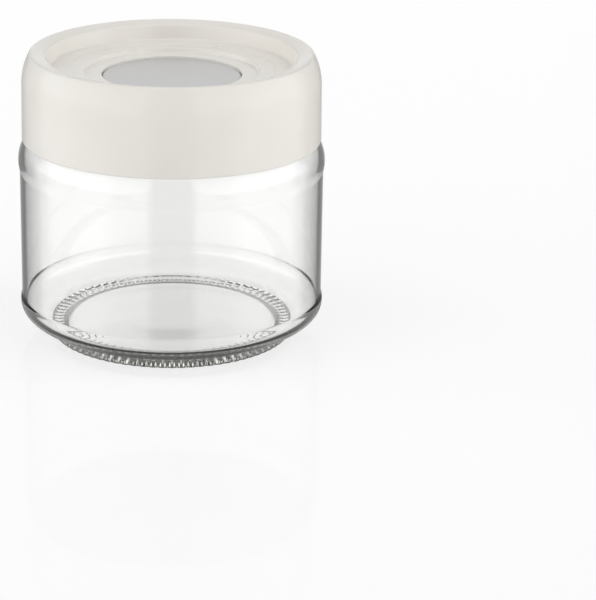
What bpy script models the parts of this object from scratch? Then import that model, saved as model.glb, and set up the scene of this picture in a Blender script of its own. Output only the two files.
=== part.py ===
# Low glass jar for spices with a screw lid: a blown glass jar that stands on a stippled
# foot ring, and a moulded plastic lid with a threaded collar, a pressed steel disc let
# into its top and a soft sealing ring held under its floor.
# Metres, +Z up. The origin is the middle of the foot, on the surface the jar stands on.

import math

import bmesh
import bpy

mm = 0.001

# How finely the round shapes are cut
stipple_count = 80                  # bars round the foot ring, one to each outer division
stipple_points = 3                  # points along the foot ring for one bar and its gap
stipple_high_points = 2             # of those, the ones on the bar
outer_divisions = stipple_count     # round what shows from outside
inner_divisions = stipple_count // 2  # round the inside of the jar and of the lid

# Clearances
fit_gap = 0.3 * mm                  # between pieces that seat on each other
flank_gap = 0.35 * mm               # between the flanks of the two threads
crest_gap = 0.4 * mm                # from a thread's crest to the wall it runs along

# Glass jar, body
body_radius = 50.0 * mm             # heel band and shoulder band, the widest part
panel_recess = 0.45 * mm            # the plain wall lies this much inside the bands
wall = 1.5 * mm
foot_inset = 10.0 * mm              # foot ring's outer face, in from the bands
foot_height = 3.2 * mm
foot_edge = 0.3 * mm                # slope at the outer edge of the stippled ring
bearing_width = 2.4 * mm            # flat of the ring that stands on the table
ring_slope_width = 2.4 * mm         # the ring's inner side, from the flat up to the underside
ring_slope_height = 2.0 * mm
stipple_depth = 0.35 * mm
push_up = 3.0 * mm                  # rise of the underside's middle above the table
floor_dome = 2.0 * mm               # rise of the inner floor towards its middle
heel_band_height = 11.0 * mm        # widest point of the heel band above the table
heel_radius = 5.6 * mm
heel_run_radius = 16.0 * mm         # slow curve from the heel down to the foot ring
floor_run_radius = 20.0 * mm        # slow curve from the inside of the heel down to the floor
shoulder_band_height = 58.6 * mm    # widest point of the shoulder band above the table
shoulder_radius = 11.6 * mm

# Glass jar, neck
neck_inset = 11.2 * mm              # neck wall, in from the bands
neck_height = 14.2 * mm             # from the top of the shoulder's round to the lip
neck_wall = 2.5 * mm
neck_fillet = 1.2 * mm
lip_radius = 1.1 * mm
bore_corner_radius = 1.4 * mm       # rounded corner from the bore to the inner shoulder

# Screw thread, one start, right hand
thread_lead = 5.0 * mm
thread_depth = 1.1 * mm
thread_crest = 1.2 * mm             # width of the flat crest of the glass thread
thread_rise = 6.0 * mm              # climb of the glass thread from end to end
thread_above_shoulder = 3.8 * mm
lid_thread_crest = 1.0 * mm
lid_thread_rise = 5.25 * mm
lid_thread_delay_share = 0.1        # part of a turn from the glass thread's start to the lid's
flank_share = 0.64                  # run of a flank for each unit of its depth
thread_embed = 0.5 * mm             # how far a thread is rooted in its wall
thread_fade_share = 0.07            # part of the thread's length over which each end runs out

# Sealing ring
seal_thickness = 1.6 * mm
seal_width = 4.3 * mm
seal_corner = 0.4 * mm

# Lid
skirt_inset = 1.3 * mm              # lower edge of the skirt, in from the glass bands
skirt_draft = 0.2 * mm              # the skirt narrows this much towards its top
skirt_edge_wall = 0.8 * mm
skirt_edge_round = 0.4 * mm
skirt_clearance = 0.4 * mm          # skirt's lower edge above the glass shoulder
lid_wall = 1.9 * mm
lid_shoulder_radius = 20.0 * mm     # slow curve between the skirt and the rim
crest_radius = 1.3 * mm             # round of the rim's crest, the lid's highest point
rim_width = 4.2 * mm                # from the edge of the recess to the middle of the crest
rim_slope = 16.0                    # degrees, fall of the rim's top towards the recess
rim_edge_radius = 0.8 * mm          # rounded edge between the rim and the recess
rim_thickness = 2.5 * mm            # from the crest down to the roof of the hollow below it
roof_fillet = 1.0 * mm
collar_wall = 1.7 * mm
collar_clearance = 1.0 * mm         # collar's lower edge above the glass shoulder
recess_wall = 1.3 * mm              # between the recess and the hollow outside the collar
recess_depth = 5.7 * mm
recess_draft = 1.1 * mm
recess_fillet = 0.8 * mm
plate = 1.7 * mm                    # thickness of the recess floor
outer_step_drop = 0.3 * mm
inner_step_drop = 1.25 * mm
step_run = 0.4 * mm
outer_step_inset = 6.0 * mm         # first step, in from the foot of the recess wall
step_spacing = 5.3 * mm             # from the first step to the second
rib_width = 0.8 * mm                # rib that keeps the sealing ring in place
rib_drop = 1.2 * mm

# Steel disc
disc_inset = 5.9 * mm               # rim of the disc, in from the second step
disc_thickness = 0.8 * mm
disc_edge_radius = 0.6 * mm
disc_sink = 0.6 * mm                # face of the disc below the floor around it

# Sizes that follow from the ones above
panel_radius = body_radius - panel_recess
inner_radius = panel_radius - wall
foot_radius = body_radius - foot_inset
bearing_radius = foot_radius - foot_edge - bearing_width
foot_inner_radius = bearing_radius - ring_slope_width
shoulder_centre_radius = body_radius - shoulder_radius
neck_radius = body_radius - neck_inset
bore_radius = neck_radius - neck_wall
mouth_height = shoulder_band_height + shoulder_radius + neck_height
thread_start_height = shoulder_band_height + shoulder_radius + thread_above_shoulder
collar_radius = neck_radius + thread_depth + crest_gap
collar_outer_radius = collar_radius + collar_wall
lid_thread_overlap = thread_depth - crest_gap
thread_offset = ((thread_crest + lid_thread_crest) / 2
                 + flank_share * lid_thread_overlap + flank_gap)
seal_base_height = mouth_height + fit_gap
seal_outer_radius = collar_radius - fit_gap
seal_inner_radius = seal_outer_radius - seal_width
seat_height = seal_base_height + seal_thickness + fit_gap
recess_floor_height = seat_height + plate
rim_height = recess_floor_height + recess_depth
recess_radius = collar_outer_radius - recess_wall
recess_foot_radius = recess_radius - recess_draft
outer_step_radius = recess_foot_radius - outer_step_inset
inner_step_radius = outer_step_radius - step_spacing
disc_radius = inner_step_radius - disc_inset
pocket_radius = disc_radius + fit_gap
middle_height = recess_floor_height - outer_step_drop
plateau_height = middle_height - inner_step_drop
disc_top_height = plateau_height - disc_sink
pocket_height = disc_top_height - disc_thickness - fit_gap
skirt_radius = body_radius - skirt_inset


def arc(centre, radius, start, end, steps):
    """Points on an arc in the (radius, height) plane; angles in degrees from outwards to up."""
    points = []
    for i in range(steps + 1):
        angle = math.radians(start + (end - start) * i / steps)
        points.append((centre[0] + radius * math.cos(angle), centre[1] + radius * math.sin(angle)))
    return points


def direction(start, end):
    """Angle in degrees of the line from one point to another."""
    return math.degrees(math.atan2(end[1] - start[1], end[0] - start[0]))


def crossing_above(first, first_radius, second, second_radius):
    """The higher of the two points where two circles meet."""
    apart = math.dist(first, second)
    along = (apart ** 2 + first_radius ** 2 - second_radius ** 2) / (2 * apart)
    aside = math.sqrt(first_radius ** 2 - along ** 2)
    unit = ((second[0] - first[0]) / apart, (second[1] - first[1]) / apart)
    middle = (first[0] + unit[0] * along, first[1] + unit[1] * along)
    found = [(middle[0] - unit[1] * s * aside, middle[1] + unit[0] * s * aside) for s in (1, -1)]
    return max(found, key=lambda point: point[1])


def shoulder_height_at(radius):
    """Height of the outside of the glass shoulder at a radius."""
    across = radius - shoulder_centre_radius
    return shoulder_band_height + math.sqrt(shoulder_radius ** 2 - across ** 2)


def stations(points, divisions):
    """Rings of a turned shape: radius, height, divisions, and no change of height round the ring."""
    return [(radius, height, divisions, None) for radius, height in points]


def add_ring(bm, station):
    """The vertices of one ring, or a single one on the axis."""
    radius, height, divisions, lift = station
    if radius == 0:
        return [bm.verts.new((0, 0, height))]
    ring = []
    for i in range(divisions):
        angle = 2 * math.pi * i / divisions
        rise = lift(i) if lift else 0
        ring.append(bm.verts.new((radius * math.cos(angle), radius * math.sin(angle), height + rise)))
    return ring


def stitch(bm, first, second):
    """Joins two rings whose counts are equal or go evenly into each other."""
    coarse, fine = (first, second) if len(first) <= len(second) else (second, first)
    if len(coarse) == len(fine):
        for i in range(len(coarse)):
            bm.faces.new((coarse[i - 1], coarse[i], fine[i], fine[i - 1]))
        return
    each = len(fine) // len(coarse)
    for i in range(len(coarse)):
        near, far = coarse[i], coarse[(i + 1) % len(coarse)]
        edge = [fine[(i * each + k) % len(fine)] for k in range(each + 1)]
        if near == far:
            for k in range(each):
                bm.faces.new((near, edge[k], edge[k + 1]))
            continue
        turn = (each + 1) // 2
        for k in range(each):
            bm.faces.new((near if k < turn else far, edge[k], edge[k + 1]))
        bm.faces.new((near, edge[turn], far))


def finish(name, bm, material):
    """Makes an object of a bmesh, with its faces outwards and its round sides smooth."""
    bmesh.ops.recalc_face_normals(bm, faces=bm.faces)
    mesh = bpy.data.meshes.new(name)
    bm.to_mesh(mesh)
    bm.free()
    mesh.shade_smooth()
    mesh.set_sharp_from_angle(angle=math.radians(30))
    mesh.materials.append(material)
    obj = bpy.data.objects.new(name, mesh)
    bpy.context.collection.objects.link(obj)
    return obj


def turned(name, path, material, closed=False):
    """A solid of revolution through a list of stations, from axis to axis or round a loop."""
    bm = bmesh.new()
    rings = [add_ring(bm, station) for station in path]
    pairs = list(zip(rings, rings[1:]))
    if closed:
        pairs.append((rings[-1], rings[0]))
    for first, second in pairs:
        stitch(bm, first, second)
    return finish(name, bm, material)


def thread(name, wall_radius, side, crest, start_height, start_turn, rise, material):
    """A helical ridge rooted in a wall: side is 1 for a ridge outside it, -1 for one inside it."""
    bm = bmesh.new()
    steps = round(rise / thread_lead * inner_divisions)
    root = wall_radius - side * thread_embed
    sections = []
    for i in range(steps + 1):
        share = i / steps
        angle = 2 * math.pi * (start_turn + share * rise / thread_lead)
        fade = min(1, share / thread_fade_share, (1 - share) / thread_fade_share)
        reach = thread_depth * fade - thread_embed * (1 - fade) / 2
        tip = wall_radius + side * reach
        half_root = crest / 2 + flank_share * (reach + thread_embed)
        middle = start_height + rise * share
        section = []
        for radius, height in ((root, middle - half_root), (tip, middle - crest / 2),
                               (tip, middle + crest / 2), (root, middle + half_root)):
            section.append(bm.verts.new((radius * math.cos(angle), radius * math.sin(angle), height)))
        sections.append(section)
    for before, after in zip(sections, sections[1:]):
        stitch(bm, before, after)
    bm.faces.new(sections[0])
    bm.faces.new(sections[-1])
    ridge = finish(name, bm, material)
    ridge.hide_render = True
    ridge.display_type = "WIRE"
    return ridge


def join_to(obj, ridge):
    """Unites a hidden ridge with the piece that carries it."""
    union = obj.modifiers.new("thread", "BOOLEAN")
    union.operation = "UNION"
    union.solver = "EXACT"
    union.object = ridge


def stipple_lift(index):
    """Raises the gaps between the bars of the foot ring above the bars' faces."""
    return 0 if index % stipple_points < stipple_high_points else stipple_depth


def foot_and_underside():
    """From the middle of the pushed-up underside out to the foot ring's outer edge."""
    rise = push_up - ring_slope_height
    dome = [(foot_inner_radius * share, push_up - rise * share ** 3) for share in (0.5, 0.8)]
    path = stations([(0, push_up)] + dome, inner_divisions)
    path += stations([(foot_inner_radius, ring_slope_height)], outer_divisions)
    bar_divisions = outer_divisions * stipple_points
    path.append((bearing_radius, 0, bar_divisions, stipple_lift))
    path.append((bearing_radius + bearing_width, 0, bar_divisions, stipple_lift))
    path += stations([(foot_radius, stipple_depth + foot_edge)], outer_divisions)
    return path


def heel_centres():
    """Centres of the heel's round and of the slow curve below it, and the angle where they meet."""
    foot_top = (foot_radius, foot_height)
    heel_centre = (body_radius - heel_radius, heel_band_height)
    run_centre = crossing_above(heel_centre, heel_run_radius - heel_radius, foot_top, heel_run_radius)
    return heel_centre, run_centre, direction(run_centre, heel_centre)


def heel_and_shoulder():
    """Outside of the jar from the top of the foot ring to the neck's fillet."""
    heel_centre, run_centre, meet = heel_centres()
    foot_angle = direction(run_centre, (foot_radius, foot_height))
    points = arc(run_centre, heel_run_radius, foot_angle, meet, 3)
    heel_end = math.degrees(math.acos((heel_radius - panel_recess) / heel_radius))
    points += arc(heel_centre, heel_radius, meet, 0, 5)[1:]
    points += arc(heel_centre, heel_radius, 0, heel_end, 2)[1:]

    shoulder_centre = (shoulder_centre_radius, shoulder_band_height)
    panel_end = math.degrees(math.acos((shoulder_radius - panel_recess) / shoulder_radius))
    fillet_reach = shoulder_radius + neck_fillet
    fillet_radius = neck_radius + neck_fillet
    across = fillet_radius - shoulder_centre_radius
    fillet_centre = (fillet_radius,
                     shoulder_band_height + math.sqrt(fillet_reach ** 2 - across ** 2))
    lean = direction(shoulder_centre, fillet_centre)
    points += arc(shoulder_centre, shoulder_radius, -panel_end, 0, 2)
    points += arc(shoulder_centre, shoulder_radius, 0, lean, 7)[1:]
    points += arc(fillet_centre, neck_fillet, lean + 180, 180, 3)[1:]
    return stations(points, outer_divisions)


def lip_and_inside():
    """From the outside of the lip down the bore and the inner wall to the middle of the floor."""
    lip_height = mouth_height - lip_radius
    points = arc((neck_radius - lip_radius, lip_height), lip_radius, 0, 90, 3)
    points += arc((bore_radius + lip_radius, lip_height), lip_radius, 90, 180, 3)
    under_shoulder = shoulder_band_height + shoulder_radius - wall - panel_recess
    corner = (bore_radius + bore_corner_radius, under_shoulder + bore_corner_radius)
    points += arc(corner, bore_corner_radius, 180, 270, 2)
    round_radius = under_shoulder - shoulder_band_height
    points += arc((inner_radius - round_radius, shoulder_band_height), round_radius, 90, 0, 6)
    heel_centre, _, meet = heel_centres()
    inner_heel_radius = inner_radius - heel_centre[0]
    points += arc(heel_centre, inner_heel_radius, 0, meet, 4)
    back = floor_run_radius - inner_heel_radius
    run_centre = (heel_centre[0] - back * math.cos(math.radians(meet)),
                  heel_centre[1] - back * math.sin(math.radians(meet)))
    points += arc(run_centre, floor_run_radius, meet, -90, 4)[1:]
    edge_radius, edge_height = points[-1]
    points += [(edge_radius * share, edge_height + floor_dome * (1 - share ** 2)) for share in (0.5, 0)]
    return stations(points, inner_divisions)


def make_jar(glass):
    path = foot_and_underside() + heel_and_shoulder() + lip_and_inside()
    jar = turned("glass_jar", path, glass)
    ridge = thread("neck_thread_guide", neck_radius, 1, thread_crest,
                   thread_start_height, 0, thread_rise, glass)
    join_to(jar, ridge)
    return jar


def lid_underside(slow_centre):
    """From the middle under the plate out over the rib, the collar and the hollow to the skirt."""
    boss_radius = pocket_radius + plate
    boss_height = pocket_height - plate
    rib_radius = seal_inner_radius - fit_gap
    collar_bottom = shoulder_height_at(collar_outer_radius) + collar_clearance
    skirt_inner_radius = skirt_radius - skirt_edge_wall
    skirt_bottom = shoulder_height_at(skirt_inner_radius) + skirt_clearance
    points = [
        (0, boss_height),
        (boss_radius, boss_height),
        (boss_radius, plateau_height - plate),
        (inner_step_radius + plate, plateau_height - plate),
        (inner_step_radius + plate, middle_height - plate),
        (rib_radius - rib_width, middle_height - plate),
        (rib_radius - rib_width, seat_height - rib_drop),
        (rib_radius, seat_height - rib_drop),
        (rib_radius, seat_height),
        (collar_radius, seat_height),
        (collar_radius, collar_bottom),
        (collar_outer_radius, collar_bottom),
    ]
    roof_height = rim_height - rim_thickness
    points += arc((collar_outer_radius + roof_fillet, roof_height - roof_fillet), roof_fillet, 180, 90, 2)
    inner_slow_radius = lid_shoulder_radius - lid_wall
    roof_end = math.degrees(math.asin((roof_height - slow_centre[1]) / inner_slow_radius))
    points += arc(slow_centre, inner_slow_radius, roof_end, 0, 3)
    points.append((skirt_inner_radius, skirt_bottom))
    return stations(points, inner_divisions), skirt_bottom


def lid_outside(crest_centre, slow_centre, skirt_bottom):
    """From the skirt's lower edge over the rim and down into the recess, to its middle."""
    edge_centre = (skirt_radius - skirt_edge_round, skirt_bottom + skirt_edge_round)
    points = arc(edge_centre, skirt_edge_round, -90, 0, 2)
    meet = direction(slow_centre, crest_centre)
    points += arc(slow_centre, lid_shoulder_radius, 0, meet, 4)
    inward = 90 + rim_slope
    points += arc(crest_centre, crest_radius, meet, inward, 3)[1:]
    edge_radius = recess_radius + rim_edge_radius
    slope = math.tan(math.radians(rim_slope))
    lift = (crest_radius - rim_edge_radius) / math.cos(math.radians(rim_slope))
    edge_height = crest_centre[1] + lift - (crest_centre[0] - edge_radius) * slope
    points += arc((edge_radius, edge_height), rim_edge_radius, inward, 180, 3)
    fillet_centre = (recess_foot_radius - recess_fillet, recess_floor_height + recess_fillet)
    points += arc(fillet_centre, recess_fillet, 0, -90, 2)
    for radius, above, below in ((outer_step_radius, recess_floor_height, middle_height),
                                 (inner_step_radius, middle_height, plateau_height)):
        points += [(radius + step_run / 2, above), (radius - step_run / 2, below)]
    points += [(pocket_radius, plateau_height), (pocket_radius, pocket_height), (0, pocket_height)]
    return stations(points, outer_divisions)


def make_lid(plastic):
    crest_centre = (recess_radius + rim_width, rim_height - crest_radius)
    slow_radius = skirt_radius - skirt_draft - lid_shoulder_radius
    across = crest_centre[0] - slow_radius
    drop = math.sqrt((lid_shoulder_radius - crest_radius) ** 2 - across ** 2)
    slow_centre = (slow_radius, crest_centre[1] - drop)
    underside, skirt_bottom = lid_underside(slow_centre)
    path = underside + lid_outside(crest_centre, slow_centre, skirt_bottom)
    lid = turned("lid_shell", path, plastic)
    lid_thread_height = (thread_start_height - thread_offset
                         + thread_lead * lid_thread_delay_share)
    ridge = thread("collar_thread_guide", collar_radius, -1, lid_thread_crest,
                   lid_thread_height, lid_thread_delay_share, lid_thread_rise, plastic)
    join_to(lid, ridge)
    return lid


def make_disc(steel):
    edge = arc((disc_radius - disc_edge_radius, disc_top_height - disc_edge_radius),
               disc_edge_radius, 0, 90, 3)
    bottom = disc_top_height - disc_thickness
    points = [(0, bottom), (disc_radius, bottom)] + edge + [(0, disc_top_height)]
    return turned("lid_disc", stations(points, outer_divisions), steel)


def make_seal(silicone):
    top = seal_base_height + seal_thickness
    points = []
    for radius, height, start in (
            (seal_outer_radius - seal_corner, seal_base_height + seal_corner, -90),
            (seal_outer_radius - seal_corner, top - seal_corner, 0),
            (seal_inner_radius + seal_corner, top - seal_corner, 90),
            (seal_inner_radius + seal_corner, seal_base_height + seal_corner, 180)):
        points += arc((radius, height), seal_corner, start, start + 90, 1)
    return turned("seal_ring", stations(points, inner_divisions), silicone, closed=True)


def surface(name, colour, roughness, metallic=0.0, transmission=0.0):
    """A material from its colour, roughness, metallic value and clearness."""
    material = bpy.data.materials.new(name)
    material.use_nodes = True
    shader = material.node_tree.nodes["Principled BSDF"]
    shader.inputs["Base Color"].default_value = (*colour, 1)
    shader.inputs["Roughness"].default_value = roughness
    shader.inputs["Metallic"].default_value = metallic
    shader.inputs["Transmission Weight"].default_value = transmission
    return material


def pivot(name, height, parent=None):
    """An empty on the jar's axis that carries the pieces of one moving body."""
    empty = bpy.data.objects.new(name, None)
    bpy.context.collection.objects.link(empty)
    empty.location = (0, 0, height)
    empty.parent = parent
    return empty


def carry(obj, empty, height):
    """Hangs a piece on its pivot, leaving it where it was modelled."""
    obj.parent = empty
    obj.location = (0, 0, -height)


def main():
    for obj in list(bpy.data.objects):
        bpy.data.objects.remove(obj)
    make_jar(surface("clear_glass", (0.93, 0.95, 0.93), 0.02, transmission=1.0))
    lid = make_lid(surface("cream_plastic", (0.84, 0.81, 0.74), 0.3))
    disc = make_disc(surface("satin_steel", (0.57, 0.57, 0.57), 0.35, metallic=1.0))
    seal = make_seal(surface("white_silicone", (0.8, 0.8, 0.78), 0.5))
    rise = pivot("lid_rise_pivot", mouth_height)
    turn = pivot("lid_turn_pivot", 0, rise)
    carry(seal, rise, mouth_height)
    for piece in (lid, disc):
        carry(piece, turn, mouth_height)


main()
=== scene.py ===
import math

import bmesh
import bpy
from mathutils import Matrix, Vector


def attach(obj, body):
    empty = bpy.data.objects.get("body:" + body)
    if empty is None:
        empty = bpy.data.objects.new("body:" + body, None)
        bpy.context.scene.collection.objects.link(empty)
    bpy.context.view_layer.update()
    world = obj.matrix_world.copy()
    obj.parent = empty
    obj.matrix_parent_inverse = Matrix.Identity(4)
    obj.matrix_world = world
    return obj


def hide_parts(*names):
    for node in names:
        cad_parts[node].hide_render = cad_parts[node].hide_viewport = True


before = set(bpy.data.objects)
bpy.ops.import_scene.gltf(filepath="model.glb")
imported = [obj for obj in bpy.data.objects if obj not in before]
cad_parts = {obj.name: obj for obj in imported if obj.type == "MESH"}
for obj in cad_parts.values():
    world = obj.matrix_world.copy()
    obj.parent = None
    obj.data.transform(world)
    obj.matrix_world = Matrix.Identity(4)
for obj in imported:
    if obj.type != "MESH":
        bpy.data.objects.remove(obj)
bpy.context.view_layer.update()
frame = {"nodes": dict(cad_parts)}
print("frame loaded:", ", ".join(frame["nodes"]))

mm = 0.001


def linearColor(hexText):
    parts = [int(hexText[i:i + 2], 16) / 255 for i in (1, 3, 5)]
    return (*[c / 12.92 if c <= 0.04045 else ((c + 0.055) / 1.055) ** 2.4 for c in parts], 1.0)


def addNode(tree, kind, inputs=(), **settings):
    # inputs go by place or by name: a node gives its first output, a socket itself, anything else is a value
    node = tree.nodes.new(kind)
    for name, value in settings.items():
        setattr(node, name, value)
    for key, value in inputs.items() if isinstance(inputs, dict) else enumerate(inputs):
        if isinstance(value, bpy.types.Node):
            tree.links.new(value.outputs[0], node.inputs[key])
        elif isinstance(value, bpy.types.NodeSocket):
            tree.links.new(value, node.inputs[key])
        elif value is not None:
            node.inputs[key].default_value = value
    return node


def newMaterial(name):
    material = bpy.data.materials.new(name)
    material.use_nodes = True
    material.node_tree.nodes.clear()
    return material, material.node_tree


# Soda-lime glass, blown in a polished mould: clear, a trace of grey-green where it is thick,
# fire-polished to a mirror gloss, with the slow faint waves that a blown wall keeps.
glassLook = {
    "tint": "#ffffff",
    "ior": 1.52,
    "thickTint": "#e9ece4",       # what is left of white after a deep pane of it
    "absorption": 50.0,           # per metre
    "waveWidth": 17.0,            # mm from one slow wave of the wall to the next
    "waveDepth": 0.012,           # mm
    "lampShare": "#dcdcdc",       # how much light each face lets through to what lies behind
}


def makeSodaLimeGlass():
    material, tree = newMaterial("blownSodaLimeGlass")
    place = addNode(tree, "ShaderNodeTexCoord")
    stretched = addNode(tree, "ShaderNodeMapping", {"Vector": place.outputs["Object"], "Scale": (1, 1, 0.45)})
    waves = addNode(tree, "ShaderNodeTexNoise", {
        "Vector": stretched, "Scale": 1 / (glassLook["waveWidth"] * mm), "Detail": 1.0, "Roughness": 0.4})
    bump = addNode(tree, "ShaderNodeBump", {"Height": waves, "Distance": glassLook["waveDepth"] * mm})
    glass = addNode(tree, "ShaderNodeBsdfPrincipled", {
        "Base Color": linearColor(glassLook["tint"]), "Roughness": 0.0, "IOR": glassLook["ior"],
        "Transmission Weight": 1.0, "Normal": bump})
    # lamps shine through the wall on to what stands behind it
    path = addNode(tree, "ShaderNodeLightPath")
    clear = addNode(tree, "ShaderNodeBsdfTransparent", {"Color": linearColor(glassLook["lampShare"])})
    both = addNode(tree, "ShaderNodeMixShader", [path.outputs["Is Shadow Ray"], glass, clear])
    depth = addNode(tree, "ShaderNodeVolumeAbsorption", {
        "Color": linearColor(glassLook["thickTint"]), "Density": glassLook["absorption"]})
    addNode(tree, "ShaderNodeOutputMaterial", {"Surface": both, "Volume": depth})
    return material


# Polypropylene, injection moulded in a polished tool: an even warm cream with a soft gloss, a trace
# of orange peel that softens the edge of a reflection, and faint sink where the wall is thick.
lidLook = {
    "colour": "#f1eee8",
    "deeper": "#eeeae3",          # where the pigment lies denser
    "ior": 1.49,
    "roughness": 0.16,
    "peelWidth": 0.8,             # mm
    "peelDepth": 0.0014,
    "sinkWidth": 26.0,            # mm
    "sinkDepth": 0.012,
}


def makeMouldedPolypropylene():
    material, tree = newMaterial("mouldedPolypropylene")
    place = addNode(tree, "ShaderNodeTexCoord")
    slow = addNode(tree, "ShaderNodeTexNoise", {
        "Vector": place.outputs["Object"], "Scale": 1 / (lidLook["sinkWidth"] * mm), "Detail": 3.0})
    tone = addNode(tree, "ShaderNodeValToRGB", [slow])
    tone.color_ramp.elements[0].position = 0.35
    tone.color_ramp.elements[0].color = linearColor(lidLook["deeper"])
    tone.color_ramp.elements[1].position = 0.65
    tone.color_ramp.elements[1].color = linearColor(lidLook["colour"])
    peel = addNode(tree, "ShaderNodeTexNoise", {
        "Vector": place.outputs["Object"], "Scale": 1 / (lidLook["peelWidth"] * mm), "Detail": 2.0})
    sink = addNode(tree, "ShaderNodeBump", {"Height": slow, "Distance": lidLook["sinkDepth"] * mm})
    bump = addNode(tree, "ShaderNodeBump", {
        "Height": peel, "Distance": lidLook["peelDepth"] * mm, "Normal": sink})
    gloss = addNode(tree, "ShaderNodeMapRange", {
        "Value": peel, "From Min": 0.3, "From Max": 0.7,
        "To Min": lidLook["roughness"] - 0.02, "To Max": lidLook["roughness"] + 0.02})
    shader = addNode(tree, "ShaderNodeBsdfPrincipled", {
        "Base Color": tone, "Roughness": gloss, "IOR": lidLook["ior"], "Normal": bump})
    addNode(tree, "ShaderNodeOutputMaterial", {"Surface": shader})
    return material


# Stainless steel sheet, pressed to a disc and satin finished: neutral grey, even from a step away.
# The turned marks of the finish are too fine to show, so they are drawn about three times as coarse.
discLook = {
    "colour": "#dedede",
    "roughness": 0.34,
    "markWidth": 0.25,            # mm from mark to mark along the radius
    "markDepth": 0.0005,
}


def makeSatinStainlessSteel():
    material, tree = newMaterial("satinStainlessSteel")
    place = addNode(tree, "ShaderNodeTexCoord")
    flat = addNode(tree, "ShaderNodeVectorMath", [place.outputs["Object"], (1, 1, 0)], operation="MULTIPLY")
    radius = addNode(tree, "ShaderNodeVectorMath", [flat], operation="LENGTH")
    marks = addNode(tree, "ShaderNodeTexNoise", {
        "W": radius.outputs["Value"], "Scale": 1 / (discLook["markWidth"] * mm), "Detail": 3.0},
        noise_dimensions="1D")
    bump = addNode(tree, "ShaderNodeBump", {"Height": marks, "Distance": discLook["markDepth"] * mm})
    gloss = addNode(tree, "ShaderNodeMapRange", {
        "Value": marks, "From Min": 0.3, "From Max": 0.7,
        "To Min": discLook["roughness"] - 0.03, "To Max": discLook["roughness"] + 0.03})
    shader = addNode(tree, "ShaderNodeBsdfPrincipled", {
        "Base Color": linearColor(discLook["colour"]), "Metallic": 1.0, "Roughness": gloss, "Normal": bump})
    addNode(tree, "ShaderNodeOutputMaterial", {"Surface": shader})
    return material


# Silicone rubber, compression moulded: milky white and matt, light goes a little way into it, with
# the fine grain of a blasted tool.
sealLook = {
    "colour": "#e9e9e5",
    "ior": 1.41,
    "roughness": 0.55,
    "scatter": 0.15,              # share of the light that goes in
    "scatterDepth": 0.002,        # m
    "grainWidth": 0.5,            # mm
    "grainDepth": 0.004,
}


def makeMouldedSilicone():
    material, tree = newMaterial("mouldedSilicone")
    place = addNode(tree, "ShaderNodeTexCoord")
    grain = addNode(tree, "ShaderNodeTexNoise", {
        "Vector": place.outputs["Object"], "Scale": 1 / (sealLook["grainWidth"] * mm), "Detail": 3.0})
    bump = addNode(tree, "ShaderNodeBump", {"Height": grain, "Distance": sealLook["grainDepth"] * mm})
    shader = addNode(tree, "ShaderNodeBsdfPrincipled", {
        "Base Color": linearColor(sealLook["colour"]), "Roughness": sealLook["roughness"],
        "IOR": sealLook["ior"], "Subsurface Weight": sealLook["scatter"],
        "Subsurface Scale": sealLook["scatterDepth"], "Normal": bump})
    addNode(tree, "ShaderNodeOutputMaterial", {"Surface": shader})
    return material


sodaLimeGlass = makeSodaLimeGlass()
polypropylene = makeMouldedPolypropylene()
stainlessSteel = makeSatinStainlessSteel()
silicone = makeMouldedSilicone()
print("materials made")


def arcPoints(centre, radius, start, end, step=4.0):
    count = max(1, math.ceil(abs(end - start) / step))
    angles = [math.radians(start + (end - start) * i / count) for i in range(count + 1)]
    return [(centre[0] + radius * math.cos(a), centre[1] + radius * math.sin(a)) for a in angles]


def runPoints(start, end, count):
    return [(start[0] + (end[0] - start[0]) * i / count, start[1] + (end[1] - start[1]) * i / count)
            for i in range(count + 1)]


def flatRun(start, end):
    # points close to both ends of a straight wall, so that its shading stays straight between them
    nearEnds = (0.008, 0.04, 0.96, 0.992)
    return [(start[0] + (end[0] - start[0]) * t, start[1] + (end[1] - start[1]) * t) for t in nearEnds]


def directionOf(start, end):
    return math.degrees(math.atan2(end[1] - start[1], end[0] - start[0]))


def upperCrossing(first, firstRadius, second, secondRadius):
    apart = math.dist(first, second)
    along = (apart ** 2 + firstRadius ** 2 - secondRadius ** 2) / (2 * apart)
    aside = math.sqrt(firstRadius ** 2 - along ** 2)
    unit = ((second[0] - first[0]) / apart, (second[1] - first[1]) / apart)
    middle = (first[0] + unit[0] * along, first[1] + unit[1] * along)
    found = [(middle[0] - unit[1] * s * aside, middle[1] + unit[0] * s * aside) for s in (1, -1)]
    return max(found, key=lambda point: point[1])


def softCorners(points, radius):
    # breaks the corners of an outline, as a mould does
    out = [points[0]]
    for before, corner, after in zip(points, points[1:], points[2:]):
        inLength, outLength = math.dist(before, corner), math.dist(corner, after)
        cut = min(radius, inLength * 0.45, outLength * 0.45)
        start = [corner[i] + (before[i] - corner[i]) * cut / inLength for i in (0, 1)]
        end = [corner[i] + (after[i] - corner[i]) * cut / outLength for i in (0, 1)]
        for t in (0, 0.25, 0.5, 0.75, 1):
            out.append(tuple(start[i] * (1 - t) ** 2 + corner[i] * 2 * t * (1 - t) + end[i] * t ** 2
                             for i in (0, 1)))
    return out + [points[-1]]


def stitchRings(bm, first, second):
    # joins two rings, also where one has several times as many points, or is a single one
    coarse, fine = (first, second) if len(first) <= len(second) else (second, first)
    each = len(fine) // len(coarse)
    for i in range(len(coarse)):
        near, far = coarse[i], coarse[(i + 1) % len(coarse)]
        edge = [fine[(i * each + k) % len(fine)] for k in range(each + 1)]
        if each == 1:
            bm.faces.new((near, far, edge[1], edge[0]))
            continue
        turn = each if near == far else (each + 1) // 2
        for k in range(each):
            bm.faces.new((near if k < turn else far, edge[k], edge[k + 1]))
        if near != far:
            bm.faces.new((near, edge[turn], far))


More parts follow.
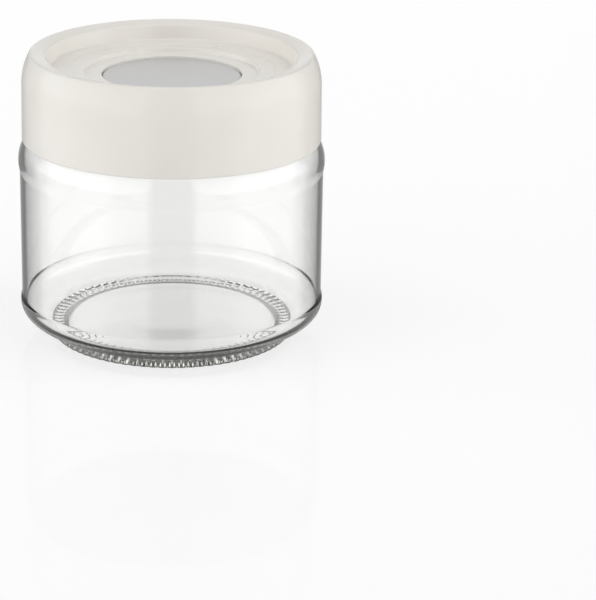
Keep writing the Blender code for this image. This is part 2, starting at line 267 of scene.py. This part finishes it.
def turnedPiece(name, path):
    # path: radius and height in mm, and divisions round, from the axis to the axis
    bm = bmesh.new()
    rings, last = [], None
    for radius, height, divisions in path:
        if last and math.dist(last, (radius, height)) < 1e-6:
            continue
        last = (radius, height)
        angles = [2 * math.pi * i / divisions for i in range(divisions if radius else 1)]
        rings.append([bm.verts.new((radius * mm * math.cos(a), radius * mm * math.sin(a), height * mm))
                      for a in angles])
    for first, second in zip(rings, rings[1:]):
        stitchRings(bm, first, second)
    bmesh.ops.recalc_face_normals(bm, faces=bm.faces)
    mesh = bpy.data.meshes.new(name)
    bm.to_mesh(mesh)
    bm.free()
    obj = bpy.data.objects.new(name, mesh)
    bpy.context.scene.collection.objects.link(obj)
    return obj


def withRings(points, divisions):
    return [(radius, height, divisions) for radius, height in points]


def newTree(name, sizes):
    tree = bpy.data.node_groups.new(name, "GeometryNodeTree")
    tree.interface.new_socket("Geometry", in_out="INPUT", socket_type="NodeSocketGeometry")
    for label, value in sizes.items():
        socket = tree.interface.new_socket(label, in_out="INPUT", socket_type="NodeSocketFloat")
        socket.default_value = value
    tree.interface.new_socket("Geometry", in_out="OUTPUT", socket_type="NodeSocketGeometry")
    return tree, addNode(tree, "NodeGroupInput").outputs


def endTree(tree, geometry, material):
    real = addNode(tree, "GeometryNodeRealizeInstances", {"Geometry": geometry})
    dressed = addNode(tree, "GeometryNodeSetMaterial", {"Geometry": real, "Material": material})
    addNode(tree, "NodeGroupOutput", {"Geometry": dressed})
    return tree


def putTree(obj, tree, sizes):
    modifier = obj.modifiers.new(tree.name, "NODES")
    modifier.node_group = tree
    for item in tree.interface.items_tree:
        if item.in_out == "INPUT" and item.name in sizes:
            modifier[item.identifier] = float(sizes[item.name])


def finishPiece(obj, node, body, sharpAbove):
    # makes the modifiers' result the piece's own mesh, then says what it is
    if obj.modifiers:
        graph = bpy.context.evaluated_depsgraph_get()
        mesh = bpy.data.meshes.new_from_object(obj.evaluated_get(graph))
        mesh.name = obj.name
        obj.modifiers.clear()
        obj.data = mesh
    obj.data.shade_smooth()
    obj.data.set_sharp_from_angle(angle=math.radians(sharpAbove))
    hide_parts(node)
    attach(obj, body)
    print(obj.name, "made:", len(obj.data.polygons), "faces")
    return obj


jarSize = {
    "bodyRadius": 50.0, "panelRecess": 0.45, "wall": 1.5, "around": 320,
    "footInset": 10.0, "footHeight": 3.2, "footEdge": 0.3, "footEdgeTop": 0.65, "footAround": 960,
    "bearingWidth": 2.4, "ringSlopeWidth": 2.4, "ringSlopeHeight": 2.0, "pushUp": 3.0, "floorDome": 2.0,
    "heelBand": 11.0, "heelRadius": 5.6, "heelRun": 16.0, "floorRun": 20.0,
    "shoulderBand": 58.6, "shoulderRadius": 11.6,
    "neckInset": 11.2, "neckHeight": 14.2, "neckWall": 2.5, "neckFillet": 1.2,
    "lipRadius": 1.1, "boreCorner": 1.4, "neckRings": 52,
}
footBars = {"Bars": 80, "Bar depth": 0.35, "Inner radius": 34.9, "Outer radius": 40.0, "Top": 2.0,
            "Edge share": 0.12, "Gap start": 0.45, "Gap end": -0.45, "Full depth below": 0.3,
            "Inner fade": 0.7, "Outer fade": 1.1, "Margin": 0.1}
neckThread = {
    "Lead": 5.0, "Depth": 1.1, "Crest": 1.2, "Flank": 0.704, "Rise": 6.0, "Start height": 74.0,
    "Start turn": 0.0, "Wall radius": 38.8, "Side": 1.0, "Fade share": 0.07,
}
collarThread = {
    "Lead": 5.0, "Depth": 1.1, "Crest": 1.0, "Flank": 0.704, "Rise": 5.25, "Start height": 72.602,
    "Start turn": 0.1, "Wall radius": 40.3, "Side": -1.0, "Fade share": 0.07,
}


def makeBarTree():
    # lifts the gaps between the bars that the jar stands on
    tree, given = newTree("footBars", footBars)
    place = addNode(tree, "ShaderNodeVectorMath",
                    {0: addNode(tree, "GeometryNodeInputPosition"), "Scale": 1 / mm}, operation="SCALE")
    axes = addNode(tree, "ShaderNodeSeparateXYZ", [place]).outputs
    flat = addNode(tree, "ShaderNodeVectorMath", [place, (1, 1, 0)], operation="MULTIPLY")
    radius = addNode(tree, "ShaderNodeVectorMath", [flat], operation="LENGTH").outputs["Value"]
    angle = addNode(tree, "ShaderNodeMath", [axes[1], axes[0]], operation="ARCTAN2")
    phase = addNode(tree, "ShaderNodeMath", [angle, given["Bars"]], operation="MULTIPLY")
    wave = addNode(tree, "ShaderNodeMath", [phase], operation="COSINE")
    gap = addNode(tree, "ShaderNodeMapRange", {
        "Value": wave, "From Min": given["Gap start"], "From Max": given["Gap end"]},
        interpolation_type="SMOOTHSTEP")
    low = addNode(tree, "ShaderNodeMapRange", {
        "Value": axes[2], "From Min": given["Top"], "From Max": given["Full depth below"]},
        interpolation_type="SMOOTHSTEP")
    innerEnd = addNode(tree, "ShaderNodeMath", [given["Inner radius"], given["Inner fade"]], operation="ADD")
    inner = addNode(tree, "ShaderNodeMapRange", {
        "Value": radius, "From Min": given["Inner radius"], "From Max": innerEnd},
        interpolation_type="SMOOTHSTEP")
    share = addNode(tree, "ShaderNodeMath", [gap, low], operation="MULTIPLY")
    share = addNode(tree, "ShaderNodeMath", [share, inner], operation="MULTIPLY")
    outerStart = addNode(tree, "ShaderNodeMath", [given["Outer radius"], given["Outer fade"]],
                         operation="SUBTRACT")
    outer = addNode(tree, "ShaderNodeMapRange", {
        "Value": radius, "From Min": outerStart, "From Max": given["Outer radius"],
        "To Min": 1.0, "To Max": given["Edge share"]}, interpolation_type="SMOOTHSTEP")
    share = addNode(tree, "ShaderNodeMath", [share, outer], operation="MULTIPLY")
    depth = addNode(tree, "ShaderNodeMath", [given["Bar depth"], mm], operation="MULTIPLY")
    lift = addNode(tree, "ShaderNodeMath", [share, depth], operation="MULTIPLY")
    edge = addNode(tree, "ShaderNodeMath", [given["Outer radius"], given["Margin"]], operation="ADD")
    onFoot = addNode(tree, "FunctionNodeCompare", [radius, edge], operation="LESS_THAN")
    moved = addNode(tree, "GeometryNodeSetPosition", {
        "Geometry": given["Geometry"], "Selection": onFoot,
        "Offset": addNode(tree, "ShaderNodeCombineXYZ", {"Z": lift})})
    return endTree(tree, moved, sodaLimeGlass)


def makeThreadTree(material):
    # pushes a ridge out of a turned wall along a helix of a turn or so
    tree, given = newTree("screwThread", neckThread)
    place = addNode(tree, "ShaderNodeVectorMath",
                    {0: addNode(tree, "GeometryNodeInputPosition"), "Scale": 1 / mm}, operation="SCALE")
    axes = addNode(tree, "ShaderNodeSeparateXYZ", [place]).outputs
    flat = addNode(tree, "ShaderNodeVectorMath", [place, (1, 1, 0)], operation="MULTIPLY")
    radius = addNode(tree, "ShaderNodeVectorMath", [flat], operation="LENGTH").outputs["Value"]
    angle = addNode(tree, "ShaderNodeMath", [axes[1], axes[0]], operation="ARCTAN2")
    around = addNode(tree, "ShaderNodeMath", [angle, 2 * math.pi], operation="DIVIDE")
    around = addNode(tree, "ShaderNodeMath", [around, given["Start turn"]], operation="SUBTRACT")
    around = addNode(tree, "ShaderNodeMath", [around], operation="FRACT")
    turns = addNode(tree, "ShaderNodeMath", [given["Rise"], given["Lead"]], operation="DIVIDE")
    half = addNode(tree, "ShaderNodeMath", [given["Crest"], 2.0], operation="DIVIDE")
    laps = []
    for lap in (0.0, 1.0):
        run = addNode(tree, "ShaderNodeMath", [around, lap], operation="ADD")
        share = addNode(tree, "ShaderNodeMath", [run, turns], operation="DIVIDE")
        left = addNode(tree, "ShaderNodeMath", [1.0, share], operation="SUBTRACT")
        toEnd = addNode(tree, "ShaderNodeMath", [share, left], operation="MINIMUM")
        fade = addNode(tree, "ShaderNodeMath", [toEnd, given["Fade share"]],
                       operation="DIVIDE", use_clamp=True)
        middle = addNode(tree, "ShaderNodeMath", [run, given["Lead"], given["Start height"]],
                         operation="MULTIPLY_ADD")
        above = addNode(tree, "ShaderNodeMath", [axes[2], middle], operation="SUBTRACT")
        away = addNode(tree, "ShaderNodeMath", [above], operation="ABSOLUTE")
        past = addNode(tree, "ShaderNodeMath", [away, half], operation="SUBTRACT")
        slope = addNode(tree, "ShaderNodeMath", [past, given["Flank"]], operation="DIVIDE")
        level = addNode(tree, "ShaderNodeMath", [1.0, slope], operation="SUBTRACT", use_clamp=True)
        laps.append(addNode(tree, "ShaderNodeMath", [level, fade], operation="MULTIPLY"))
    ridge = addNode(tree, "ShaderNodeMath", laps, operation="MAXIMUM")
    reach = addNode(tree, "ShaderNodeMath", [given["Depth"], given["Side"]], operation="MULTIPLY")
    push = addNode(tree, "ShaderNodeMath", [ridge, reach], operation="MULTIPLY")
    push = addNode(tree, "ShaderNodeMath", [push, mm], operation="MULTIPLY")
    outward = addNode(tree, "ShaderNodeVectorMath", [flat], operation="NORMALIZE")
    offset = addNode(tree, "ShaderNodeVectorMath", {0: outward, "Scale": push}, operation="SCALE")
    offWall = addNode(tree, "ShaderNodeMath", [radius, given["Wall radius"]], operation="SUBTRACT")
    offWall = addNode(tree, "ShaderNodeMath", [offWall], operation="ABSOLUTE")
    onWall = addNode(tree, "FunctionNodeCompare", [offWall, 0.02], operation="LESS_THAN")
    moved = addNode(tree, "GeometryNodeSetPosition", {
        "Geometry": given["Geometry"], "Selection": onWall, "Offset": offset})
    return endTree(tree, moved, material)


def footAndHeel():
    # the foot ring and the outside of the heel, and the inside of the heel, which runs beside it
    s = jarSize
    foot = s["bodyRadius"] - s["footInset"]
    bearing = foot - s["footEdge"] - s["bearingWidth"]
    inner = bearing - s["ringSlopeWidth"]
    edge = s["ringSlopeHeight"]
    under = [(inner * i / 16, s["pushUp"] - (s["pushUp"] - edge) * (i / 16) ** 3) for i in range(16)]
    ring = runPoints((inner, edge), (bearing, 0), 12)
    ring += runPoints(ring[-1], (foot - s["footEdge"], 0), 6)[1:]
    ring += runPoints(ring[-1], (foot, s["footEdgeTop"]), 4)[1:]
    top = (foot, s["footHeight"])
    heel = (s["bodyRadius"] - s["heelRadius"], s["heelBand"])
    run = upperCrossing(heel, s["heelRun"] - s["heelRadius"], top, s["heelRun"])
    meet = directionOf(run, heel)
    outside = arcPoints(run, s["heelRun"], directionOf(run, top), meet, 2.5)
    outside += arcPoints(heel, s["heelRadius"], meet, 0)[1:]
    end = math.degrees(math.acos((s["heelRadius"] - s["panelRecess"]) / s["heelRadius"]))
    outside += arcPoints(heel, s["heelRadius"], 0, end)[1:]
    wallRadius = s["bodyRadius"] - s["panelRecess"] - s["wall"]
    innerHeel = wallRadius - heel[0]
    back, lean = s["floorRun"] - innerHeel, math.radians(meet)
    innerRun = (heel[0] - back * math.cos(lean), heel[1] - back * math.sin(lean))
    inside = arcPoints(heel, innerHeel, 0, meet)
    inside += arcPoints(innerRun, s["floorRun"], meet, -90, 2.5)[1:]
    floorEdge = inside[-1]
    for i in range(1, 15):
        share = 1 - i / 14
        inside.append((floorEdge[0] * share, floorEdge[1] + s["floorDome"] * (1 - share ** 2)))
    return under, ring, outside, inside


def jarOutline():
    s = jarSize
    under, ring, outside, insideHeel = footAndHeel()
    panel = s["bodyRadius"] - s["panelRecess"]
    neck = s["bodyRadius"] - s["neckInset"]
    bore = neck - s["neckWall"]
    shoulder = (s["bodyRadius"] - s["shoulderRadius"], s["shoulderBand"])
    start = math.degrees(math.acos((s["shoulderRadius"] - s["panelRecess"]) / s["shoulderRadius"]))
    shoulderFoot = arcPoints(shoulder, s["shoulderRadius"], -start, 0, 3)
    outside += flatRun(outside[-1], shoulderFoot[0]) + shoulderFoot
    across = neck + s["neckFillet"] - shoulder[0]
    reach = s["shoulderRadius"] + s["neckFillet"]
    fillet = (neck + s["neckFillet"], s["shoulderBand"] + math.sqrt(reach ** 2 - across ** 2))
    lean = directionOf(shoulder, fillet)
    outside += arcPoints(shoulder, s["shoulderRadius"], 0, lean)[1:]
    outside += arcPoints(fillet, s["neckFillet"], lean + 180, 180, 15)[1:]
    lip = s["shoulderBand"] + s["shoulderRadius"] + s["neckHeight"] - s["lipRadius"]
    outside += runPoints(outside[-1], (neck, lip), s["neckRings"])[1:]
    outside += arcPoints((neck - s["lipRadius"], lip), s["lipRadius"], 0, 90, 15)[1:]
    inside = arcPoints((bore + s["lipRadius"], lip), s["lipRadius"], 90, 180, 15)
    vault = s["shoulderBand"] + s["shoulderRadius"] - s["wall"] - s["panelRecess"]
    boreFoot = arcPoints((bore + s["boreCorner"], vault + s["boreCorner"]), s["boreCorner"], 180, 270, 15)
    inside += flatRun(inside[-1], boreFoot[0]) + boreFoot
    roundIn = vault - s["shoulderBand"]
    inside += arcPoints((panel - s["wall"] - roundIn, s["shoulderBand"]), roundIn, 90, 0)
    inside += flatRun(inside[-1], insideHeel[0])
    path = withRings(under, s["around"]) + withRings(ring, s["footAround"])
    return path + withRings(outside + inside + insideHeel, s["around"])


jar = turnedPiece("glassJar", jarOutline())
putTree(jar, makeBarTree(), footBars)
putTree(jar, makeThreadTree(sodaLimeGlass), neckThread)
finishPiece(jar, "glass_jar", "jar", 50)


lidSize = {
    "skirtInset": 1.3, "skirtDraft": 0.2, "edgeWall": 0.8, "edgeRound": 0.4, "skirtClearance": 0.4,
    "wall": 1.9, "shoulderRadius": 20.0, "crestRadius": 1.3, "rimWidth": 4.2, "rimSlope": 16.0,
    "rimEdge": 0.8, "rimThickness": 2.5, "roofFillet": 1.0, "recessWall": 1.3, "around": 320,
    "collarRadius": 40.3, "collarWall": 1.7, "collarClearance": 1.0,
    "recessDepth": 5.7, "recessDraft": 1.1, "recessFillet": 0.8, "plate": 1.7,
    "outerDrop": 0.3, "innerDrop": 1.25, "stepRun": 0.4, "outerStepInset": 6.0, "stepSpacing": 5.3,
    "ribWidth": 0.8, "ribDrop": 1.2, "seatHeight": 86.6, "sealInner": 35.7, "fitGap": 0.3,
    "discRadius": 22.4, "discThickness": 0.8, "discSink": 0.6, "discEdge": 0.6, "discBreak": 0.1,
    "edgeBreak": 0.15, "collarRings": 60, "collarRelief": 0.4, "collarBreak": 0.2,
}


def shoulderHeight(radius):
    across = radius - (jarSize["bodyRadius"] - jarSize["shoulderRadius"])
    return jarSize["shoulderBand"] + math.sqrt(jarSize["shoulderRadius"] ** 2 - across ** 2)


def lidOutline():
    s = lidSize
    skirt = jarSize["bodyRadius"] - s["skirtInset"]
    floorHeight = s["seatHeight"] + s["plate"]
    rimTop = floorHeight + s["recessDepth"]
    collarOut = s["collarRadius"] + s["collarWall"]
    recess = collarOut - s["recessWall"]
    recessFoot = recess - s["recessDraft"]
    outerStep = recessFoot - s["outerStepInset"]
    innerStep = outerStep - s["stepSpacing"]
    pocket = s["discRadius"] + s["fitGap"]
    middle = floorHeight - s["outerDrop"]
    plateau = middle - s["innerDrop"]
    pocketFloor = plateau - s["discSink"] - s["discThickness"] - s["fitGap"]
    crest = (recess + s["rimWidth"], rimTop - s["crestRadius"])
    slowRadius = skirt - s["skirtDraft"] - s["shoulderRadius"]
    drop = math.sqrt((s["shoulderRadius"] - s["crestRadius"]) ** 2 - (crest[0] - slowRadius) ** 2)
    slow = (slowRadius, crest[1] - drop)
    meet = directionOf(slow, crest)

    boss = pocket + s["plate"]
    rib = s["sealInner"] - s["fitGap"]
    collarBottom = shoulderHeight(collarOut) + s["collarClearance"]
    skirtIn = skirt - s["edgeWall"]
    skirtBottom = shoulderHeight(skirtIn) + s["skirtClearance"]
    ceiling = plateau - s["plate"]
    ledge = innerStep + s["plate"]
    under = softCorners([
        (0, pocketFloor - s["plate"]), (boss, pocketFloor - s["plate"]), (boss, ceiling), (ledge, ceiling),
        (ledge, middle - s["plate"]), (rib - s["ribWidth"], middle - s["plate"]),
        (rib - s["ribWidth"], s["seatHeight"] - s["ribDrop"]), (rib, s["seatHeight"] - s["ribDrop"]),
        (rib, s["seatHeight"]), (s["collarRadius"], s["seatHeight"]),
    ], s["edgeBreak"])
    collarTop = s["seatHeight"] - s["collarRelief"]
    collarEnd = collarBottom + s["collarBreak"]
    under += runPoints((s["collarRadius"], collarTop), (s["collarRadius"], collarEnd), s["collarRings"])
    under += [(s["collarRadius"] + s["collarBreak"], collarBottom),
              (collarOut - s["collarBreak"], collarBottom), (collarOut, collarEnd)]
    roof = rimTop - s["rimThickness"]
    under += arcPoints((collarOut + s["roofFillet"], roof - s["roofFillet"]), s["roofFillet"], 180, 90, 15)
    slowIn = s["shoulderRadius"] - s["wall"]
    roofEnd = math.degrees(math.asin((roof - slow[1]) / slowIn))
    under += arcPoints(slow, slowIn, roofEnd, 0)
    under += [(skirtIn, skirtBottom)]

    out = arcPoints((skirt - s["edgeRound"], skirtBottom + s["edgeRound"]), s["edgeRound"], -90, 0, 15)
    out += arcPoints(slow, s["shoulderRadius"], 0, meet, 1.5)
    inward = 90 + s["rimSlope"]
    slope = math.radians(s["rimSlope"])
    out += arcPoints(crest, s["crestRadius"], meet, inward, 6)[1:]
    edge = recess + s["rimEdge"]
    lift = (s["crestRadius"] - s["rimEdge"]) / math.cos(slope)
    edgeHeight = crest[1] + lift - (crest[0] - edge) * math.tan(slope)
    out += arcPoints((edge, edgeHeight), s["rimEdge"], inward, 180, 8)
    fillet = (recessFoot - s["recessFillet"], floorHeight + s["recessFillet"])
    out += arcPoints(fillet, s["recessFillet"], 0, -90, 10)
    steps = [out[-1]]
    for radius, above, below in ((outerStep, floorHeight, middle), (innerStep, middle, plateau)):
        steps += [(radius + s["stepRun"] / 2, above), (radius - s["stepRun"] / 2, below)]
    steps += [(pocket, plateau), (pocket, pocketFloor), (0, pocketFloor)]
    return withRings(under + out + softCorners(steps, s["edgeBreak"])[1:], s["around"])


lid = turnedPiece("lidShell", lidOutline())
putTree(lid, makeThreadTree(polypropylene), collarThread)
finishPiece(lid, "lid_shell", "lid", 40)


def discOutline():
    # the edge is drawn over by the press
    s = lidSize
    top = s["seatHeight"] + s["plate"] - s["outerDrop"] - s["innerDrop"] - s["discSink"]
    radius, edge = s["discRadius"], s["discEdge"]
    bottom = top - s["discThickness"]
    outline = [(0, bottom), (radius - s["discBreak"], bottom), (radius, bottom + s["discBreak"])]
    outline += arcPoints((radius - edge, top - edge), edge, 0, 90, 10)
    return withRings(outline + [(radius / 2, top), (0, top)], s["around"])


disc = turnedPiece("steelDisc", discOutline())
disc.data.materials.append(stainlessSteel)
finishPiece(disc, "lid_disc", "lid", 40)


sealSize = {"Inner radius": 35.7, "Outer radius": 40.0, "Bottom": 84.7, "Top": 86.3, "Corner": 0.4}


def makeSealTree():
    # a strip with rounded corners, led round a circle
    tree, given = newTree("sealSweep", sealSize)
    sums = {}
    for label, operation, first, second in (
            ("middle", "ADD", "Inner radius", "Outer radius"),
            ("width", "SUBTRACT", "Outer radius", "Inner radius"),
            ("level", "ADD", "Top", "Bottom"), ("height", "SUBTRACT", "Top", "Bottom")):
        both = addNode(tree, "ShaderNodeMath", [given[first], given[second]], operation=operation)
        part = mm / 2 if operation == "ADD" else mm
        sums[label] = addNode(tree, "ShaderNodeMath", [both, part], operation="MULTIPLY")
    circle = addNode(tree, "GeometryNodeCurvePrimitiveCircle", {"Resolution": 320, "Radius": sums["middle"]})
    strip = addNode(tree, "GeometryNodeCurvePrimitiveQuadrilateral", {
        "Width": sums["width"], "Height": sums["height"]})
    corner = addNode(tree, "ShaderNodeMath", [given["Corner"], mm], operation="MULTIPLY")
    rounded = addNode(tree, "GeometryNodeFilletCurve", {
        "Curve": strip, "Radius": corner, "Count": 6}, mode="POLY")
    swept = addNode(tree, "GeometryNodeCurveToMesh", {"Curve": circle, "Profile Curve": rounded})
    raised = addNode(tree, "GeometryNodeTransform", {
        "Geometry": swept, "Translation": addNode(tree, "ShaderNodeCombineXYZ", {"Z": sums["level"]})})
    return endTree(tree, raised, silicone)


seal = bpy.data.objects.new("sealRing", bpy.data.meshes.new("sealRing"))
bpy.context.scene.collection.objects.link(seal)
putTree(seal, makeSealTree(), sealSize)
finishPiece(seal, "seal_ring", "seal", 40)


studio = {
    # brightness of the tent round the object, by the angle away from the photographer
    # the dark sectors are the gap for the photographer and two cards behind the sides of the glass
    "tent": [(0, 0.05), (14, 0.05), (21, 1.25), (45, 1.50), (58, 1.95), (105, 1.75), (114, 1.40),
             (124, 0.36), (161, 0.36), (171, 0.90), (180, 0.90)],
    "overhead": 0.66,             # the tent's roof as a share of its sides
    "roofStart": 0.15, "roofFull": 0.75,       # height of the direction, 1 is straight up
    "below": 0.60,                # what mirrors in glossy walls from below, as a share of the sides
    "belowFull": -0.05,
    "steep": 0.12,                # and straight from below, where the jar itself stands in the light
    "steepStart": -0.38, "steepFull": -0.75,
    "floorColour": "#f0f0f0",
    "floorWhite": 0.62,           # share of plain white in what the camera sees of the floor
    "floorGlow": 0.22,            # a white table in front of the lamps lights the walls of what stands on it
    "floorRoughness": 0.06,
    "floorIor": 1.45,
    "floorRadius": 6.0,           # m
    "floorGap": 0.00002,          # m between the floor and the flats that the jar stands on
}


def straightThrough(tree):
    # 1 for the camera's own rays and those that only went through glass, 0 after a reflection
    path = addNode(tree, "ShaderNodeLightPath").outputs
    seen = addNode(tree, "ShaderNodeMath", [path["Is Camera Ray"], path["Is Transmission Ray"]],
                   operation="MAXIMUM")
    bounces = addNode(tree, "ShaderNodeMath", [path["Glossy Depth"], path["Diffuse Depth"]], operation="ADD")
    none = addNode(tree, "ShaderNodeMath", [bounces, 0.5], operation="LESS_THAN")
    return addNode(tree, "ShaderNodeMath", [seen, none], operation="MULTIPLY")


def makeTent():
    world = bpy.data.worlds.new("lightTent")
    bpy.context.scene.world = world
    world.use_nodes = True
    tree = world.node_tree
    tree.nodes.clear()
    place = addNode(tree, "ShaderNodeTexCoord").outputs["Generated"]   # in a world this is the direction
    axes = addNode(tree, "ShaderNodeSeparateXYZ", [place]).outputs
    front = addNode(tree, "ShaderNodeMath", [axes["Y"], -1.0], operation="MULTIPLY")
    angle = addNode(tree, "ShaderNodeMath", [axes["X"], front], operation="ARCTAN2")
    angle = addNode(tree, "ShaderNodeMath", [angle], operation="ABSOLUTE")
    share = addNode(tree, "ShaderNodeMath", [angle, math.pi], operation="DIVIDE")
    ramp = addNode(tree, "ShaderNodeValToRGB", [share])
    top = max(level for _, level in studio["tent"])
    while len(ramp.color_ramp.elements) < len(studio["tent"]):
        ramp.color_ramp.elements.new(0.5)
    for element, (degrees, level) in zip(ramp.color_ramp.elements, studio["tent"]):
        element.position = degrees / 180
        element.color = (level / top, level / top, level / top, 1)
    high = addNode(tree, "ShaderNodeMapRange", {
        "Value": axes["Z"], "From Min": studio["roofStart"], "From Max": studio["roofFull"],
        "To Min": top, "To Max": top * studio["overhead"]}, interpolation_type="SMOOTHSTEP")
    low = addNode(tree, "ShaderNodeMapRange", {
        "Value": axes["Z"], "From Min": studio["belowFull"], "From Max": 0.0,
        "To Min": studio["below"], "To Max": 1.0})
    steep = addNode(tree, "ShaderNodeMapRange", {
        "Value": axes["Z"], "From Min": studio["steepFull"], "From Max": studio["steepStart"],
        "To Min": studio["steep"], "To Max": 1.0})
    low = addNode(tree, "ShaderNodeMath", [low, steep], operation="MULTIPLY")
    level = addNode(tree, "ShaderNodeMath", [high, low], operation="MULTIPLY")
    tent = addNode(tree, "ShaderNodeBackground", {"Color": ramp, "Strength": level})
    white = addNode(tree, "ShaderNodeBackground", {"Color": (1, 1, 1, 1), "Strength": 1.0})
    both = addNode(tree, "ShaderNodeMixShader", [straightThrough(tree), tent, white])
    addNode(tree, "ShaderNodeOutputWorld", {"Surface": both})


def makeFloor():
    bm = bmesh.new()
    bmesh.ops.create_circle(bm, cap_ends=True, segments=64, radius=studio["floorRadius"])
    mesh = bpy.data.meshes.new("floor")
    bm.to_mesh(mesh)
    bm.free()
    floor = bpy.data.objects.new("floor", mesh)
    floor.location.z = -studio["floorGap"]
    bpy.context.scene.collection.objects.link(floor)
    material, tree = newMaterial("whiteTable")
    path = addNode(tree, "ShaderNodeLightPath").outputs
    table = addNode(tree, "ShaderNodeBsdfPrincipled", {
        "Base Color": linearColor(studio["floorColour"]), "Roughness": studio["floorRoughness"],
        "IOR": studio["floorIor"]})
    glow = addNode(tree, "ShaderNodeEmission", {"Strength": studio["floorGlow"]})
    own = addNode(tree, "ShaderNodeAddShader", [table, glow])
    share = addNode(tree, "ShaderNodeMath", [straightThrough(tree), studio["floorWhite"]],
                    operation="MULTIPLY")
    white = addNode(tree, "ShaderNodeEmission", {"Strength": 1.0})
    lit = addNode(tree, "ShaderNodeMixShader", [share, own, white])
    # rays that a glossy wall sends down see the tent's lower half, and a view from below sees the object
    mirrored = addNode(tree, "ShaderNodeMath", [path["Glossy Depth"], 0.5], operation="GREATER_THAN")
    backface = addNode(tree, "ShaderNodeNewGeometry").outputs["Backfacing"]
    below = addNode(tree, "ShaderNodeMath", [backface, path["Is Camera Ray"]], operation="MULTIPLY")
    clear = addNode(tree, "ShaderNodeMath", [mirrored, below], operation="MAXIMUM")
    both = addNode(tree, "ShaderNodeMixShader", [clear, lit, addNode(tree, "ShaderNodeBsdfTransparent")])
    addNode(tree, "ShaderNodeOutputMaterial", {"Surface": both})
    mesh.materials.append(material)


shot = {"distance": 0.7758, "height": 0.2877, "focal": 2467.6, "pitch": 0.345, "aside": 126.0,
        "frame": 600, "film": 36.0}   # focal length and sideways place in pixels of the photograph


def makeCamera():
    lens = bpy.data.cameras.new("camera")
    lens.sensor_width = shot["film"]
    lens.lens = shot["focal"] / shot["frame"] * shot["film"]
    camera = bpy.data.objects.new("camera", lens)
    bpy.context.scene.collection.objects.link(camera)
    turn = math.atan(shot["aside"] / shot["focal"])
    ahead = Vector((0, math.cos(shot["pitch"]), -math.sin(shot["pitch"])))
    up = Vector((0, math.sin(shot["pitch"]), math.cos(shot["pitch"])))
    forward = math.cos(turn) * ahead + math.sin(turn) * Vector((1, 0, 0))
    right = forward.cross(up)
    turned = Matrix((right, up, -forward)).transposed().to_4x4()
    camera.matrix_world = Matrix.Translation((0, -shot["distance"], shot["height"])) @ turned
    bpy.context.scene.camera = camera


makeTent()
makeFloor()
makeCamera()
bpy.context.scene.view_settings.view_transform = "Standard"
bpy.context.scene.cycles.glossy_bounces = 12      # light goes round inside the thick base
bpy.context.scene.cycles.transmission_bounces = 16
bpy.context.scene.cycles.max_bounces = 20
print("stage set")
